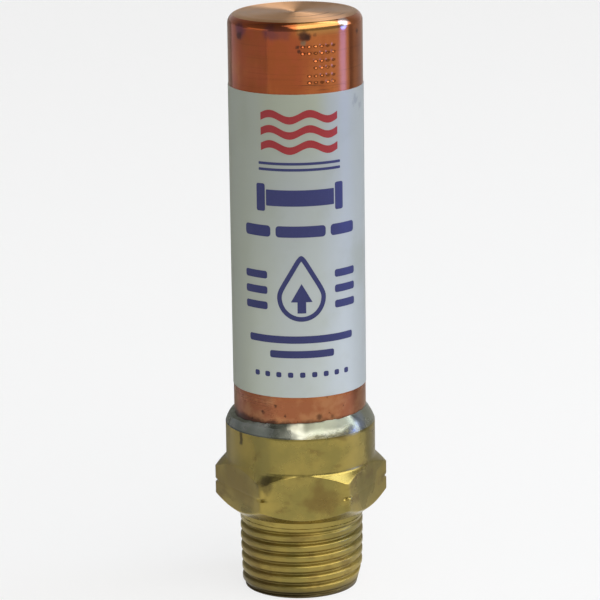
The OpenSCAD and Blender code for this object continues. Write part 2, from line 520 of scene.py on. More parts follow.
@dataclass(frozen=True)
class SpunEndFinish:
    """The spun end of the copper tube, with fine marks round its middle, painted shade in its dimple and two
    rings of painted shade at its front.
    """

    dull: Colour = (0.53, 0.305, 0.17)
    clean: Colour = (0.63, 0.37, 0.195)
    grime_and_shade: Colour = (0.16, 0.09, 0.06)
    ring_radii: Point = (6.0, 8.7)
    grain_stretch: float = 0.9
    grain_turn: float = 0.243

    def build(self) -> Material:
        """Make the material.

        Returns:
            The finished material.
        """
        sheet = Sheet("copper_end_finish")
        radius = sheet.radius()
        outward = sheet.node("ShaderNodeCombineXYZ", {0: radius}).outputs[0]
        rings = sheet.noise(outward, 2.4, 4.0, 0.6)
        clouds = sheet.noise(sheet.place, 0.2, 3.0)
        worn = sheet.span(sheet.math("ADD", rings, clouds), 0.7, 1.3)
        sheet.colour = sheet.mix(worn, self.dull, self.clean)
        # Painted shade: darker in and round the dimple.
        dimple = sheet.math("ADD", radius, sheet.product(clouds, 1.2))
        sheet.lay(self.grime_and_shade, sheet.span(dimple, 0.6, 1.7, 0.75, 0.0))
        wobbled = sheet.math("ADD", radius, sheet.product(clouds, 0.5))
        # Painted shade: two dark rings at the front only, where the spun end catches the light.
        front = sheet.band(sheet.angle(), 0.0, 1.0, 0.25)
        for ring_radius in self.ring_radii:
            ring = sheet.band(wobbled, ring_radius + 0.15, ring_radius + 0.35, 0.25)
            sheet.lay(self.grime_and_shade, ring, front, 0.6)
        self.set_grain(sheet)
        return sheet.finish(sheet.span(rings, 0.3, 0.7, 0.47, 0.56), 1.0, sheet.bump(rings, 0.02, 0.7))

    def set_grain(self, sheet: Sheet) -> None:
        """Stretch the highlights across the spinning marks.

        Args:
            sheet: The material's nodes.
        """
        tangent = sheet.node("ShaderNodeTangent", {}, direction_type="RADIAL", axis="Z")
        sheet.feed(sheet.shader.inputs["Tangent"], tangent.outputs[0])
        sheet.shader.inputs["Anisotropic"].default_value = self.grain_stretch
        sheet.shader.inputs["Anisotropic Rotation"].default_value = self.grain_turn


@dataclass(frozen=True)
class BrassFinish:
    """Forged and turned brass, dull, with grime in the thread, stains on the hexagon, and painted shade in
    the thread's roots, at its foot and on its left.

    The heights and the radii are in millimetres.
    """

    thread_top: float
    root_radius: float
    crest_radius: float
    hex_top: float
    olive: Colour = (0.265, 0.215, 0.062)
    golden: Colour = (0.39, 0.295, 0.078)
    brown_and_shade: Colour = (0.20, 0.138, 0.042)
    grime_and_shade: Colour = (0.085, 0.065, 0.030)
    drip_angles: Point = (-0.935, -0.905)
    drip_heights: Point = (26.8, 28.5)
    rim_heights: Point = (0.8, 3.8)

    def build(self) -> Material:
        """Make the material.

        Returns:
            The finished material.
        """
        sheet = Sheet("brass_finish")
        clouds = sheet.noise(sheet.place, 0.14, 4.0)
        patches = sheet.noise(sheet.scaled(1.0, 1.0, 1.6), 0.24, 4.0)
        grain = sheet.noise(sheet.place, 6.0, 4.0, 0.65)
        turned = sheet.noise(sheet.scaled(0.08, 0.08, 6.0), 1.0, 3.0)
        sheet.colour = sheet.mix(sheet.span(clouds, 0.36, 0.64), self.olive, self.golden)
        sheet.lay(self.brown_and_shade, sheet.span(patches, 0.55, 0.68), 0.6)
        in_thread = sheet.span(sheet.height, self.thread_top - 0.5, self.thread_top, 1.0, 0.0)
        in_root = sheet.span(sheet.radius(), self.root_radius, self.crest_radius - 0.25, 1.0, 0.0)
        # Grime and painted shade in the thread's roots, thickest on the left side, where the roots fall in
        # shade.
        sheet.lay(self.grime_and_shade, in_thread, in_root, sheet.span(sheet.side(), -0.48, 0.84, 0.55, 0.15))
        for blot_angle, blot_height, size, on_radius, tint, share in self.blots():
            sheet.lay(tint, sheet.spot(blot_angle, blot_height, size, on_radius, 1.0), share)
        drip = sheet.math("ADD", sheet.angle(), sheet.product(sheet.noise(sheet.place, 0.9, 2.0), 0.06))
        drip = sheet.band(drip, *self.drip_angles, 0.03)
        sheet.lay(self.grime_and_shade, drip, sheet.band(sheet.height, *self.drip_heights, 0.5), 0.9)
        # Painted shade: darker towards the thread's free end, near the floor.
        rim = sheet.math("ADD", sheet.height, sheet.product(clouds, 1.6))
        sheet.lay(self.grime_and_shade, sheet.span(rim, *self.rim_heights, 0.95, 0.0))
        on_collar = sheet.span(sheet.height, self.hex_top - 0.3, self.hex_top + 0.3)
        rough = sheet.span(sheet.math("ADD", clouds, sheet.product(grain, 0.06)), 0.33, 0.72, 0.22, 0.36)
        rough = sheet.math("ADD", rough, sheet.product(in_thread, 0.14))
        normal = sheet.bump(sheet.product(grain, sheet.math("SUBTRACT", 1.0, on_collar)), 0.004, 0.15)
        normal = sheet.bump(sheet.product(turned, on_collar), 0.01, 0.4, normal)
        return sheet.finish(rough, 1.0, sheet.bump(patches, 0.12, 0.4, normal))

    def blots(self) -> list[tuple[float, float, float, float, Colour, float]]:
        """The stains on the brass, and blots of painted shade on its left.

        Returns:
            Angle, height, radius, surface radius, tint and share of each.
        """
        return [
            (4.0, 17.5, 2.4, 12.7, self.brown_and_shade, 0.7),
            (12.0, 18.6, 2.8, 12.9, self.brown_and_shade, 0.8),
            (20.0, 17.6, 2.6, 13.4, self.brown_and_shade, 0.7),
            (10.0, 20.4, 1.6, 12.8, self.brown_and_shade, 0.6),
            # Painted shade: this blot and the three after it darken the left top chamfer, the left flats and
            # the thread's left side.
            (-28.0, 20.9, 2.1, 14.0, self.grime_and_shade, 0.75),
            (-58.0, 18.4, 6.5, 12.8, self.brown_and_shade, 0.6),
            (-90.0, 18.4, 6.0, 13.5, self.brown_and_shade, 0.5),
            (-62.0, 6.0, 8.0, 10.2, self.brown_and_shade, 0.6),
        ]


@dataclass(frozen=True)
class SolderFinish:
    """Wiped tin solder, a little green: brassy below on its right, darker and rougher above at its front,
    with painted shade on its left, a pale painted highlight and a painted blue reflection.

    The field low is the height of the bead's lower edge in millimetres.
    """

    low: float
    bright: Colour = (0.355, 0.36, 0.29)
    dull: Colour = (0.25, 0.265, 0.205)
    brassy: Colour = (0.33, 0.29, 0.15)
    dark: Colour = (0.07, 0.075, 0.06)
    pale_highlight: Colour = (0.64, 0.64, 0.53)
    blue_reflection: Colour = (0.30, 0.335, 0.39)
    upper_tint: Colour = (0.15, 0.16, 0.12)

    def build(self) -> Material:
        """Make the material.

        Returns:
            The finished material.
        """
        sheet = Sheet("solder_finish")
        side = sheet.side()
        clouds = sheet.noise(sheet.place, 0.3, 3.0)
        grain = sheet.noise(sheet.place, 1.3, 3.0)
        sheet.colour = sheet.mix(sheet.span(clouds, 0.38, 0.62), self.dull, self.bright)
        edge = sheet.math("ADD", sheet.height, sheet.product(sheet.math("SUBTRACT", clouds, 0.5), 1.6))
        right = sheet.span(side, -0.3, 0.2)
        left = sheet.math("SUBTRACT", 1.0, right)
        sheet.lay(self.brassy, sheet.span(edge, self.low + 0.1, self.low + 0.8, 1.0, 0.0), right, 0.7)
        # Painted shade: darker towards the left side.
        sheet.lay(self.dark, sheet.span(side, -0.78, -0.2, 0.5, 0.0), left)
        sheet.lay(self.dull, sheet.span(side, 0.48, 0.75, 0.0, 0.6))
        # Darker and rougher in the upper part of the bead, at its front.
        upper_front = sheet.span(edge, self.low + 0.9, self.low + 1.7)
        upper_front = sheet.product(upper_front, sheet.band(side, -0.2, 0.6, 0.1))
        sheet.lay(self.upper_tint, upper_front, 0.8)
        for blot_angle, rise, size, on_radius, tint, share in self.blots():
            sheet.lay(tint, sheet.spot(blot_angle, self.low + rise, size, on_radius), share)
        # Painted shade: a dark line along the lower edge on the left.
        sheet.lay(self.dark, sheet.span(sheet.height, self.low + 0.08, self.low + 0.3, 0.8, 0.0), left)
        rough = sheet.math("ADD", sheet.span(clouds, 0.3, 0.7, 0.16, 0.3), sheet.product(upper_front, 0.15))
        return sheet.finish(rough, 1.0, sheet.bump(grain, 0.07, 0.45))

    def blots(self) -> list[tuple[float, float, float, float, Colour, float]]:
        """The blots on the solder: a pale painted highlight, a dark blot and a painted blue reflection.

        Returns:
            Angle, rise above the lower edge, radius, surface radius, tint and share of each.
        """
        return [
            # Painted highlight: a pale spot left of the front.
            (-9.0, 1.0, 2.6, 12.0, self.pale_highlight, 0.8),
            (-26.0, 0.9, 1.7, 12.2, self.dark, 0.5),
            # Painted reflection: a blue patch on the right, where a blue lamp would show.
            (54.0, 1.6, 2.4, 11.8, self.blue_reflection, 0.8),
        ]


@dataclass(frozen=True)
class FilmFinish:
    """Satin white label film, mottled, yellowed high in front, with painted light making it lighter towards
    its bottom and painted shade yellowing its left.

    The field radius and the heights are in millimetres.
    """

    radius: float
    clean: Colour = (0.34, 0.375, 0.40)
    soiled: Colour = (0.30, 0.33, 0.33)
    yellowed_and_shade: Colour = (0.33, 0.355, 0.275)
    scuff: Colour = (0.20, 0.225, 0.27)
    lit_heights: Point = (30.0, 84.0)
    aged: Point = (70.0, 84.0)
    lower_gain: float = 1.47
    scuffs: tuple[tuple[float, float, float], ...] = ((57.0, 84.3, 1.3), (66.0, 83.2, 0.9))

    def build(self) -> Material:
        """Make the material.

        Returns:
            The finished material.
        """
        sheet = Sheet("label_film_finish")
        side = sheet.side()
        clouds = sheet.noise(sheet.place, 0.1, 4.0)
        fibre = sheet.noise(sheet.place, 7.0, 3.0)
        sheet.colour = sheet.mix(sheet.span(clouds, 0.45, 0.75), self.clean, self.soiled)
        # Painted shade: yellower and darker towards the left side.
        sheet.lay(self.yellowed_and_shade, sheet.span(side, -0.89, -0.1, 0.8, 0.0))
        age = sheet.span(sheet.height, *self.aged, 0.25, 0.9)
        sheet.lay(self.yellowed_and_shade, sheet.band(side, -0.45, 0.2, 0.3), age)
        # Painted light: the film is made lighter towards its bottom, most on its front and back.
        brighter = sheet.vector_math("SCALE", sheet.colour, self.lower_gain)
        facing = sheet.span(sheet.math("ABSOLUTE", side), 0.6, 1.0, 1.0, 0.25)
        sheet.lay(brighter, sheet.span(sheet.height, *self.lit_heights, 1.0, 0.0), facing)
        for blot_angle, blot_height, size in self.scuffs:
            sheet.lay(self.scuff, sheet.spot(blot_angle, blot_height, size, self.radius, 1.2), 0.55)
        rough = sheet.span(fibre, 0.2, 0.8, 0.36, 0.46)
        normal = sheet.bump(clouds, 0.06, 0.2)
        return sheet.finish(rough, 0.0, sheet.bump(fibre, 0.005, 0.35, normal))


@dataclass(frozen=True)
class InkFinish:
    """Printing ink on the label film, slightly uneven."""

    name: str
    full: Colour
    thin: Colour

    def build(self) -> Material:
        """Make the material.

        Returns:
            The finished material.
        """
        sheet = Sheet(self.name)
        cover = sheet.noise(sheet.place, 4.0, 4.0, 0.6)
        sheet.colour = sheet.mix(sheet.span(cover, 0.5, 0.85), self.full, self.thin)
        return sheet.finish(sheet.span(cover, 0.2, 0.8, 0.34, 0.46), 0.0, sheet.bump(cover, 0.004, 0.4))


@dataclass(frozen=True)
class PistonFinish:
    """Natural moulded plastic under a film of grease."""

    body: Colour = (0.74, 0.71, 0.62)
    greased: Colour = (0.62, 0.58, 0.46)

    def build(self) -> Material:
        """Make the material.

        Returns:
            The finished material.
        """
        sheet = Sheet("piston_finish")
        clouds = sheet.noise(sheet.place, 0.3, 3.0)
        grain = sheet.noise(sheet.place, 3.0, 3.0)
        sheet.colour = sheet.mix(sheet.span(clouds, 0.4, 0.7), self.body, self.greased)
        return sheet.finish(sheet.span(clouds, 0.35, 0.65, 0.5, 0.22), 0.0, sheet.bump(grain, 0.02, 0.35))


@dataclass(frozen=True)
class RubberFinish:
    """Greased black rubber."""

    clean: Colour = (0.018, 0.018, 0.02)
    bloom: Colour = (0.055, 0.054, 0.05)

    def build(self) -> Material:
        """Make the material.

        Returns:
            The finished material.
        """
        sheet = Sheet("ring_rubber_finish")
        clouds = sheet.noise(sheet.place, 0.9, 3.0)
        grain = sheet.noise(sheet.place, 6.0, 2.0)
        sheet.colour = sheet.mix(sheet.span(clouds, 0.45, 0.75), self.clean, self.bloom)
        return sheet.finish(sheet.span(clouds, 0.3, 0.7, 0.28, 0.5), 0.0, sheet.bump(grain, 0.01, 0.4))


@dataclass(frozen=True)
class StageFinish:
    """Plain pale floor and backdrop, or a grey card."""

    pale: Colour = (0.86, 0.86, 0.86)
    paler: Colour = (0.88, 0.88, 0.88)
    white_share: float = 0.75
    gloss: float = 0.1

    def build(self) -> Material:
        """Make the material.

        Returns:
            The finished material.
        """
        sheet = Sheet("floor_finish")
        sheet.colour = sheet.mix(sheet.noise(sheet.place, 0.01, 2.0), self.pale, self.paler)
        sheet.shader.inputs["Specular IOR Level"].default_value = self.gloss
        sheet.whiten(self.white_share)
        return sheet.finish(0.8)


@dataclass
class Chamber:
    """The drawn copper tube: spun end with a dimple, rounded shoulder, stamped dots and an open foot."""

    wall: float = 1.1 * MM
    shoulder: float = 1.7 * MM
    bore_corner: float = 0.6 * MM
    dimple_radius: float = 2.2 * MM
    dimple_depth: float = 0.2 * MM
    ripple: float = 0.02 * MM
    ripple_pitch: float = 1.5 * MM
    skew_degrees: float = 0.6
    stamp_depth: float = 0.19 * MM
    stamp_radius: float = 0.56 * MM
    stamp_pitch: float = 1.06 * MM
    stamp_zone: Point = (87.6 * MM, 95.3 * MM)
    stamp_reach: Point = (-0.08, 0.62)
    stamp_wander: float = 1.5 * MM
    stamp_strength: float = 0.8
    stamp_swing: float = 0.4
    heat_height: float = 34.2 * MM
    rippled: Point = (5.5 * MM, 8.0 * MM)
    skewed: Point = (3.5 * MM, 1.2 * MM)
    end_depth: float = 0.4 * MM
    end_pitch: float = 0.24 * MM
    stamped_pitch: float = 0.2 * MM
    wall_pitch: float = 3.0 * MM
    bore_pitch: float = 8.0 * MM
    steps: int = 360
    sharp_degrees: float = 35.0

    def __post_init__(self) -> None:
        """Take the tube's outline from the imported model."""
        low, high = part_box("copper_chamber")
        self.radius = high[0]
        self.foot = low[2]
        self.top = high[2]

    def end_height(self, radius: float) -> float:
        """Height of the spun end at a distance from its middle.

        Args:
            radius: The distance.

        Returns:
            The height.
        """
        dip = max(0.0, 1.0 - (radius / self.dimple_radius) ** 2) ** 2
        wave = 0.5 - 0.5 * math.cos(FULL_TURN * radius / self.ripple_pitch)
        near_rim = smooth_step(*self.rippled, radius)
        return self.top - self.dimple_depth * dip - self.ripple * wave * near_rim

    def profile(self) -> list[Point]:
        """The outside from the dimple down to the foot, then the bore up to the axis.

        Returns:
            Points of the profile, as (radius, height).
        """
        turn = self.radius - self.shoulder
        bore = self.radius - self.wall
        bend = bore - self.bore_corner
        inner_top = self.top - self.wall
        below = self.top - self.shoulder
        across = stretch((0.0, 0.0), (turn, 0.0), self.end_pitch)
        points = [(radius, self.end_height(radius)) for radius, _ in across]
        points += arc((turn, below), self.shoulder, 90.0, 0.0, steps=14)[:-1]
        points += stretch((self.radius, below), (self.radius, self.stamp_zone[0]), self.stamped_pitch)
        points += stretch((self.radius, self.stamp_zone[0]), (self.radius, self.foot), self.wall_pitch)
        points += [(self.radius, self.foot)]
        points += stretch((bore, self.foot), (bore, inner_top - self.bore_corner), self.bore_pitch)
        points += arc((bend, inner_top - self.bore_corner), self.bore_corner, 0.0, 90.0, steps=5)
        points.append((0.0, inner_top))
        return points

    def stamp_rows(self) -> list[tuple[float, float, int]]:
        """The rows of stamped dots.

        Returns:
            Height, left end and number of dots of each row.
        """
        return [
            (94.3 * MM, 0.7 * MM, 6),
            (93.2 * MM, 0.7 * MM, 6),
            (91.9 * MM, 2.8 * MM, 4),
            (90.8 * MM, 2.8 * MM, 4),
            (89.5 * MM, 1.75 * MM, 5),
            (88.4 * MM, 1.75 * MM, 5),
        ]

    def in_zone(self, vert: BMVert) -> bool:
        """True where a vertex lies on the stamped part of the outer wall.

        Args:
            vert: The vertex.

        Returns:
            Whether it lies there.
        """
        radius, angle = polar(vert)
        on_wall = radius > self.radius - SAME_PLACE and self.stamp_zone[0] < vert.co.z < self.stamp_zone[1]
        return on_wall and self.stamp_reach[0] < angle < self.stamp_reach[1]

    def stamp(self, mesh: BMesh) -> None:
        """Refine the stamped part of the wall and press the dots into it.

        Args:
            mesh: The bmesh to work in.
        """
        edges = [edge for edge in mesh.edges if all(self.in_zone(vert) for vert in edge.verts)]
        bmesh.ops.subdivide_edges(mesh, edges=edges, cuts=3, use_grid_fill=True)
        for vert in mesh.verts:
            if self.in_zone(vert):
                set_radius(vert, self.radius - self.stamp_depth * self.stamp_share(vert))

    def stamp_share(self, vert: BMVert) -> float:
        """How far the stamp sinks a vertex, from 0 to 1.

        Args:
            vert: The vertex.

        Returns:
            The share of the full depth.
        """
        share = 0.0
        for height, left, count in self.stamp_rows():
            along = polar(vert)[1] * self.radius - left
            off_dot = along - self.stamp_pitch * min(max(round(along / self.stamp_pitch), 0), count - 1)
            share = max(share, 1.0 - math.hypot(off_dot, vert.co.z - height) / self.stamp_radius)
        strength = self.stamp_strength + self.stamp_swing * noise.noise(vert.co / self.stamp_wander)
        return smooth_step(0.0, 1.0, share) * strength

    def skew(self, vert: BMVert) -> None:
        """Lean the spun end down towards the left, as a hand-fed tube gets it."""
        share = smooth_step(self.top - self.skewed[0], self.top - self.skewed[1], vert.co.z)
        vert.co.z += share * (vert.co.x - self.radius) * math.tan(math.radians(self.skew_degrees))

    def build(self) -> Object:
        """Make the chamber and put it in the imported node's place.

        Returns:
            The chamber.
        """
        mesh = bmesh.new()
        lathe(mesh, self.profile(), self.steps)
        for face in mesh.faces:
            middle = face.calc_center_median()
            on_end = middle.z > self.top - self.end_depth
            inside = math.hypot(middle.x, middle.y) < self.radius - 0.5 * self.shoulder
            face.material_index = int(on_end and inside)
        self.stamp(mesh)
        for vert in mesh.verts:
            self.skew(vert)
        wall_finish = CopperFinish(self.radius / MM, self.top / MM, self.heat_height / MM).build()
        finishes = [wall_finish, SpunEndFinish().build()]
        piece = make_object(mesh, "chamber_shell", finishes, self.sharp_degrees)
        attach(piece, Body.CASING.value)
        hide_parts("copper_chamber")
        return piece


@dataclass
class Adapter:
    """The brass fitting: taper thread, chamfered hexagon, collar, socket and waterway."""

    hex_low_radius: float = 11.504 * MM
    hex_low: float = 13.7 * MM
    hex_low_rise: float = 2.344 * MM
    hex_top: float = 22.4 * MM
    hex_top_degrees: float = 40.0
    hollow: float = 0.8 * MM
    collar_chamfer: Point = (1.0 * MM, 1.5 * MM)
    socket_radius: float = 11.15 * MM
    seat: float = 20.0 * MM
    waterway: float = 7.2 * MM
    mouth: float = 0.5 * MM
    edge_blend: float = 0.14 * MM
    nick_height: float = 18.3 * MM
    nick_depth: float = 0.4 * MM
    nick_rise: float = 0.24 * MM
    nick_width: float = 0.7 * MM
    seam_depth: float = 0.025 * MM
    seam_rise: float = 0.15 * MM
    chamfer_pitch: float = 0.09 * MM
    flat_pitch: float = 0.153 * MM
    collar_pitch: float = 0.6 * MM
    steps: int = 360
    pitch: float = 25.4 / 14.0 * MM
    taper: float = 1.0 / 32.0
    crest_radius: float = 10.15 * MM
    neck_radius: float = 10.4 * MM
    thread_depth: float = 0.62 * MM
    crest_share: float = 0.46
    root_share: float = 0.14
    crest_height: float = 1.60 * MM
    fade: Point = (10.9 * MM, 12.3 * MM)
    crest_round: float = 0.2 * MM
    root_round: float = 0.11 * MM
    section_pitch: float = 0.2 * MM
    cut_snap: float = 4e-6
    groove: Point = (12.4 * MM, 0.1 * MM)
    groove_half_width: float = 0.1 * MM
    end_left: Point = (9.95 * MM, 0.9)
    end_right: Point = (9.33 * MM, 0.26)
    turn_steps: int = 120
    spare_turns: int = 3
    sharp_degrees: float = 40.0

    def __post_init__(self) -> None:
        """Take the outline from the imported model."""
        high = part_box("brass_adapter")[1]
        self.corner = high[0]
        self.flat = high[1]
        self.top = high[2]
        self.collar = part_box("solder_fillet")[1][0]
        lean = math.radians(self.hex_top_degrees)
        self.hex_top_fall = (self.corner - self.collar) * math.tan(lean)
        rise = self.hollow * math.tan((math.pi / 2.0 - lean) / 2.0)
        self.hollow_middle = (self.collar + self.hollow, self.hex_top + rise)

    def body_profile(self) -> list[Point]:
        """From the ring under the hexagon, over the collar, down the socket and out of the waterway.

        Returns:
            Points of the profile, as (radius, height).
        """
        low_corner = (self.corner, self.hex_low + self.hex_low_rise)
        high_corner = (self.corner, self.hex_top - self.hex_top_fall)
        chamfer_low = (self.collar, self.top - self.collar_chamfer[1])
        chamfer_high = (self.collar - self.collar_chamfer[0], self.top)
        bend = arc(self.hollow_middle, self.hollow, 270.0 - self.hex_top_degrees, 180.0, steps=8)
        points = stretch((self.hex_low_radius, self.hex_low), low_corner, self.chamfer_pitch)
        points += stretch(low_corner, high_corner, self.flat_pitch)
        points += stretch(high_corner, bend[0], self.chamfer_pitch)
        points += bend[:-1]
        points += stretch(bend[-1], chamfer_low, self.collar_pitch)
        points += [chamfer_low, chamfer_high]
        points += [(self.socket_radius, self.top), (self.socket_radius, self.seat)]
        points += [(self.waterway, self.seat), (self.waterway, self.mouth)]
        points.append((self.waterway + self.mouth, 0.0))
        return points

    def cut_flats(self, verts: Iterable[BMVert]) -> None:
        """Draw the turned blank in to the hexagon's flats, with a seam nick on each corner.

        Args:
            verts: Vertices of the turned blank.
        """
        sixth = math.pi / 3.0
        for vert in verts:
            radius, angle = polar(vert)
            if radius < self.hex_low_radius or vert.co.z > self.hollow_middle[1]:
                continue
            off_flat = (angle + sixth / 2.0) % sixth - sixth / 2.0
            radius = smooth_min(radius, self.flat / math.cos(off_flat), self.edge_blend)
            off_corner = (sixth / 2.0 - abs(off_flat)) * radius / self.nick_width
            rise = vert.co.z - self.nick_height
            radius -= self.nick_depth * math.exp(-(rise / self.nick_rise) ** 4 - off_corner ** 4)
            radius -= self.seam_depth * math.exp(-(rise / self.seam_rise) ** 2)
            set_radius(vert, radius)

    def thread_profile(self, mesh: BMesh, start: float) -> list[BMVert | BMEdge]:
        """One pitch of the thread's section, from mid crest to mid crest, with rounded corners.

        Args:
            mesh: The bmesh to work in.
            start: Height of the lower crest's middle.

        Returns:
            The section's vertices and edges.
        """
        flank = (1.0 - self.crest_share - self.root_share) / 2.0
        root = self.crest_radius - self.thread_depth
        half_crest = self.crest_share / 2.0
        shares = (0.0, half_crest, half_crest + flank, 1.0 - half_crest - flank, 1.0 - half_crest, 1.0)
        radii = (self.crest_radius, self.crest_radius, root, root, self.crest_radius, self.crest_radius)
        places = [(radius, 0.0, start + share * self.pitch) for radius, share in zip(radii, shares)]
        verts = [mesh.verts.new(place) for place in places]
        for pair in zip(verts, verts[1:]):
            mesh.edges.new(pair)
        crests = [verts[1], verts[4]]
        roots = [verts[2], verts[3]]
        for corners, offset in ((crests, self.crest_round), (roots, self.root_round)):
            bmesh.ops.bevel(
                mesh, geom=corners, offset=offset, segments=4, profile=0.5, affect="VERTICES", material=-1
            )
        long_edges = [edge for edge in mesh.edges if edge.calc_length() > self.section_pitch]
        bmesh.ops.subdivide_edges(mesh, edges=long_edges, cuts=2)
        return list(mesh.verts) + list(mesh.edges)

    def cut_thread(self, mesh: BMesh) -> None:
        """Wind the thread's section up the nipple, taper it and cut it to length.

        Args:
            mesh: The bmesh to work in.
        """
        turns = math.ceil(self.hex_low / self.pitch) + self.spare_turns
        start = self.crest_height + self.pitch / 4.0 - self.spare_turns * self.pitch
        section = self.thread_profile(mesh, start)
        bmesh.ops.spin(
            mesh, geom=section, cent=(0, 0, 0), axis=(0, 0, 1), dvec=(0, 0, self.pitch / self.turn_steps),
            angle=FULL_TURN, steps=self.turn_steps, use_merge=False,
        )
        repeat(mesh, set(), [Matrix.Translation((0, 0, self.pitch * i)) for i in range(1, turns)])
        for vert in mesh.verts:
            depth = self.crest_radius - polar(vert)[0]
            keep = 1.0 - smooth_step(*self.fade, vert.co.z)
            crest = min(self.crest_radius + self.taper * vert.co.z, self.neck_radius)
            set_radius(vert, min(crest - depth * keep, self.end_limit(vert)))
        self.cut_across(mesh, 0.0, clear_inner=True)
        self.cut_across(mesh, self.hex_low, clear_outer=True)
        self.turn_groove(mesh)

    def end_limit(self, vert: BMVert) -> float:
        """Radius that the worn free end leaves at a vertex, more on its left than on its right.

        Args:
            vert: The vertex.

        Returns:
            The radius.
        """
        share = 0.5 + 0.5 * math.sin(polar(vert)[1])
        radius = self.end_left[0] + (self.end_right[0] - self.end_left[0]) * share
        slope = self.end_left[1] + (self.end_right[1] - self.end_left[1]) * share
        return radius + slope * max(vert.co.z, 0.0)

    def cut_across(self, mesh: BMesh, height: float, **clear: bool) -> None:
        """Cut the mesh level at one height, and clear one side if asked to.

        Args:
            mesh: The bmesh to work in.
            height: Height of the cut.
            clear: Which side goes, if any, as clear_inner or clear_outer.
        """
        geometry = list(mesh.verts) + list(mesh.edges) + list(mesh.faces)
        bmesh.ops.bisect_plane(
            mesh, geom=geometry, dist=self.cut_snap, plane_co=(0, 0, height), plane_no=(0, 0, 1),
            use_snap_center=True, **clear,
        )

    def turn_groove(self, mesh: BMesh) -> None:
        """Turn the thin groove in which the thread runs out.

        Args:
            mesh: The bmesh to work in.
        """
        middle, depth = self.groove
        near_middle = self.groove_half_width / 5.0
        for side in (-1.0, 0.0, 1.0):
            self.cut_across(mesh, middle + side * self.groove_half_width)
        for vert in mesh.verts:
            if abs(vert.co.z - middle) < near_middle:
                set_radius(vert, polar(vert)[0] - depth)

    def close_ring(self, mesh: BMesh, height: float) -> None:
        """Fill the flat ring between the two open rims at one height.

        Args:
            mesh: The bmesh to work in.
            height: Height of the rims.
        """
        rims = [
            edge for edge in mesh.edges
            if edge.is_boundary and all(abs(vert.co.z - height) < SAME_PLACE for vert in edge.verts)
        ]
        bmesh.ops.triangle_fill(mesh, edges=rims, use_beauty=True, normal=(0.0, 0.0, -1.0))

    def build(self) -> Object:
        """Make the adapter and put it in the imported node's place.

        Returns:
            The adapter.
        """
        mesh = bmesh.new()
        self.cut_thread(mesh)
        self.cut_flats(lathe(mesh, self.body_profile(), self.steps))
        self.close_ring(mesh, self.hex_low)
        self.close_ring(mesh, 0.0)
        root = self.crest_radius - self.thread_depth
        sizes = (self.fade[1], root, self.crest_radius, self.hex_top)
        material = BrassFinish(*(size / MM for size in sizes)).build()
        piece = make_object(mesh, "adapter_body", [material], self.sharp_degrees)
        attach(piece, Body.CASING.value)
        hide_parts("brass_adapter")
        return piece


@dataclass
class SolderBead:
    """The wiped bead between the collar and the tube, higher on its right, with a ragged upper edge."""

    film: float = 0.25 * MM
    tuck: float = 0.05 * MM
    left_edge: float = 30.4 * MM
    edge_gain: Point = (1.9 * MM, 1.0 * MM)
    scallop: float = 0.22 * MM
    scallop_waves: tuple[Point, ...] = ((3.0, 0.6), (9.0, 0.4))
    least_rise: float = 0.15 * MM
    collar_chamfer: float = 1.0 * MM
    lump: float = 0.06 * MM
    lump_height: float = 5.0 * MM
    lump_scale: float = 4.0
    lumpy: Point = (0.05, 0.9)
    steps: int = 360
    rows: int = 16
    sharp_degrees: float = 50.0

    def __post_init__(self) -> None:
        """Take the bead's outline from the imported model."""
        low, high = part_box("solder_fillet")
        self.outer = high[0]
        self.low = low[2]
        self.high = high[2]
        self.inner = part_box("copper_chamber")[1][0]
        self.collar_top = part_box("brass_adapter")[1][2]

    def face(self, share: float) -> Point:
        """A point on the bead's face, from the collar's edge at 0 to the tube at 1.

        Args:
            share: How far along the face it is.

        Returns:
            The point, as (radius, height).
        """
        low = Vector((self.outer, self.low))
        high = Vector((self.inner, self.high))
        half_way = Vector((self.outer - self.collar_chamfer + self.film, self.collar_top))
        pull = 2.0 * half_way - (low + high) / 2.0
        point = low * (1.0 - share) ** 2 + pull * 2.0 * share * (1.0 - share) + high * share ** 2
        return point.x, point.y

    def build(self) -> Object:
        """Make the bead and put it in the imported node's place.

        Returns:
            The bead.
        """
        mesh = bmesh.new()
        face = [self.face(i / self.rows) for i in range(self.rows + 1)]
        under = self.inner - self.tuck
        hidden = [(under, self.high), (under, self.low), (self.outer - self.tuck, self.low)]
        lathe(mesh, face + hidden, self.steps, closed=True)
        for vert in mesh.verts:
            self.ruffle(vert)
        finish = SolderFinish(self.low / MM)
        piece = make_object(mesh, "solder_bead", [finish.build()], self.sharp_degrees)
        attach(piece, Body.CASING.value)
        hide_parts("solder_fillet")
        return piece

    def ruffle(self, vert: BMVert) -> None:
        """Set the upper edge to its wandering height and lump the face.

        Args:
            vert: The vertex to move.
        """
        radius, angle = polar(vert)
        around = Vector((math.cos(angle), math.sin(angle), 0.0))
        share = 0.5 + 0.5 * math.sin(angle)
        wander = sum(noise.noise(around * scale) * part for scale, part in self.scallop_waves)
        edge = self.left_edge + self.edge_gain[0] * share - self.edge_gain[1] * share ** 2
        edge = max(edge + self.scallop * wander, self.collar_top + self.least_rise)
        if vert.co.z > self.collar_top:
            share_up = (vert.co.z - self.collar_top) / (self.high - self.collar_top)
            vert.co.z = self.collar_top + share_up * (edge - self.collar_top)
        climb = (vert.co.z - self.low) / (self.high - self.low)
        if radius > self.inner and self.lumpy[0] < climb < self.lumpy[1]:
            place = Vector((around.x, around.y, vert.co.z / self.lump_height))
            lump = 0.5 + noise.noise(place * self.lump_scale)
            set_radius(vert, radius + self.lump * lump * math.sin(math.pi * climb))


